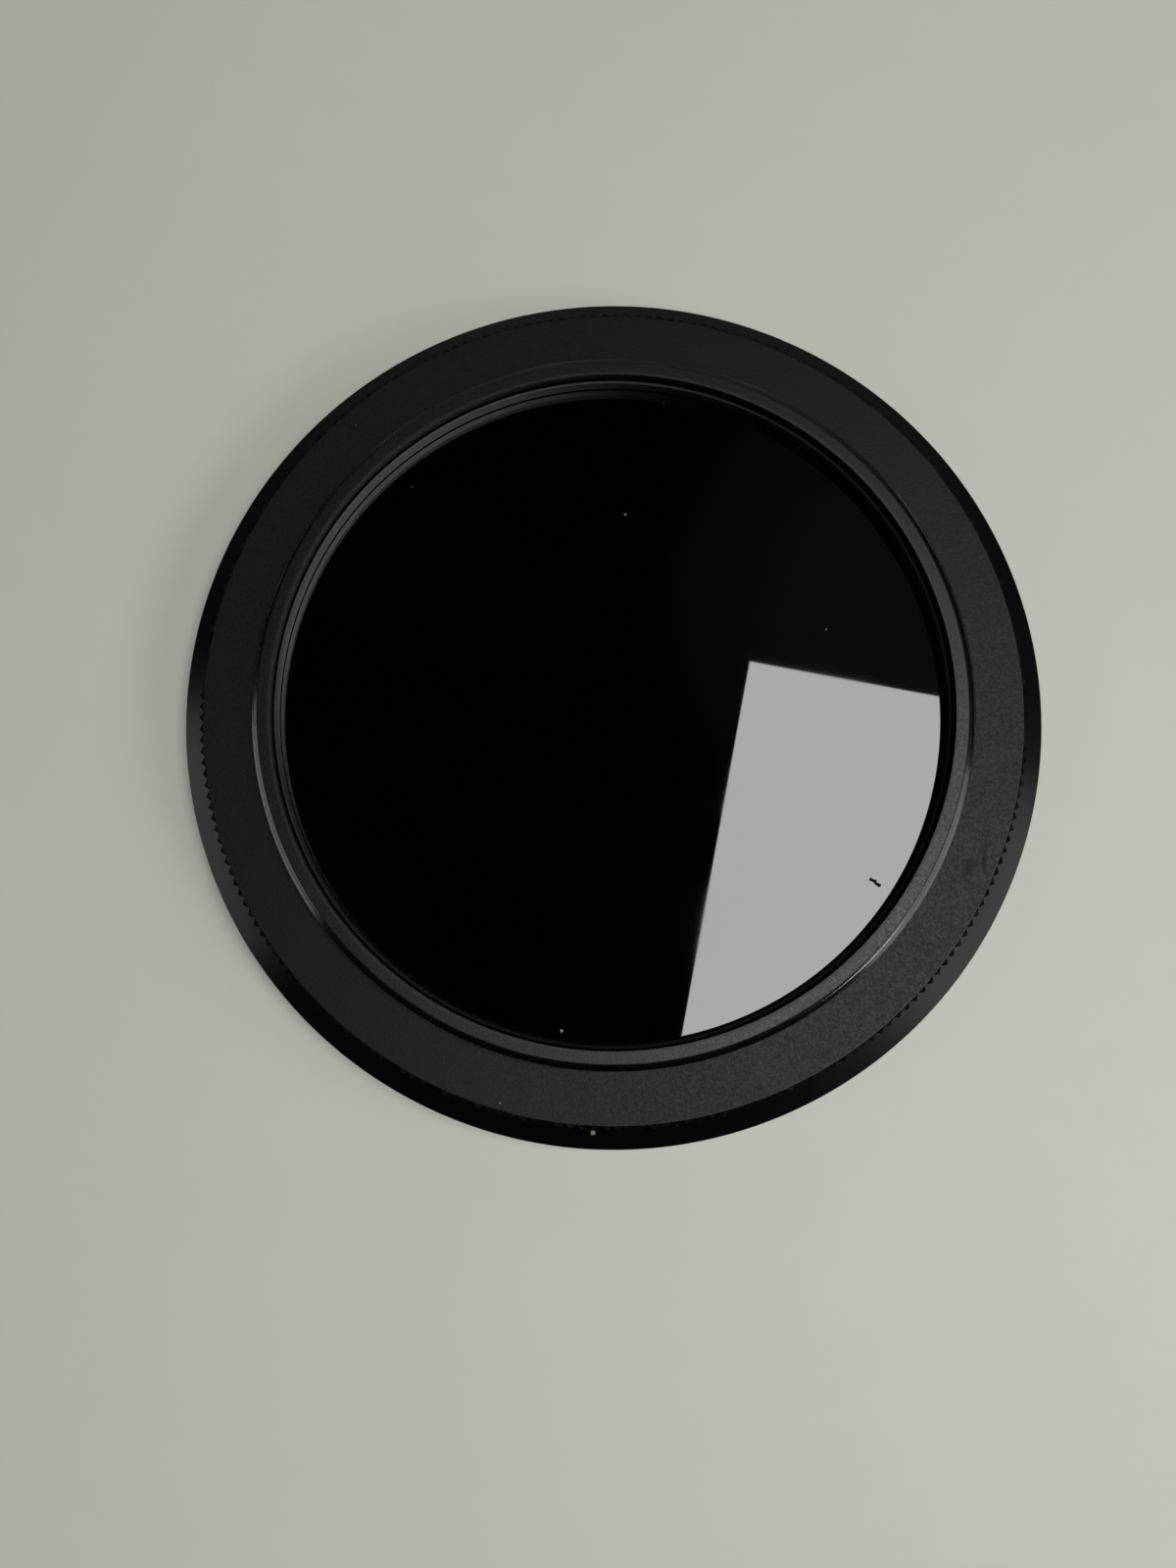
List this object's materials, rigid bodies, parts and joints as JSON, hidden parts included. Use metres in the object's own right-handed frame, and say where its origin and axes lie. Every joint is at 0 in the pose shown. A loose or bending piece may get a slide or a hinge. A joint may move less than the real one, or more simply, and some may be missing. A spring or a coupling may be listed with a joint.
{
  "type": "screw-in lens filter",
  "caption": "Round black variable neutral-density lens filter: a knurled rear ring with a lens thread, and a wider coned front ring that turns on it to darken the glass.",
  "frame": {"origin": "centre of the front face, on the filter's axis", "axes": "+Z along the filter's axis towards the lens, +X and +Y across it"},
  "size_m": [0.082, 0.082, 0.0094],
  "materials": {
    "rear_aluminium": "black anodised, bead blasted",
    "front_aluminium": "black anodised, satin turned",
    "retainer_aluminium": "black anodised, turned",
    "rear_glass": "polished, coated",
    "front_glass": "polished, coated",
    "clear_glass": "polished",
    "film": "smooth polarising film",
    "spring_steel": "plain"
  },
  "bodies": {
    "mount_side": {"rear_ring": "rear_aluminium", "rear_outer_glass": "rear_glass", "rear_film": "film", "rear_inner_glass": "clear_glass", "rear_retaining_ring": "retainer_aluminium"},
    "turning_side": {"front_ring": "front_aluminium", "front_inner_glass": "clear_glass", "front_film": "film", "front_outer_glass": "front_glass", "front_retaining_ring": "retainer_aluminium", "spring_ring": "spring_steel"}
  },
  "joints": [
    {"name": "front_ring_turn", "type": "hinge", "parent": "mount_side", "child": "turning_side", "pos_m": [0, 0, 0.0055], "axis": [0, 0, 1], "continuous": true}
  ]
}
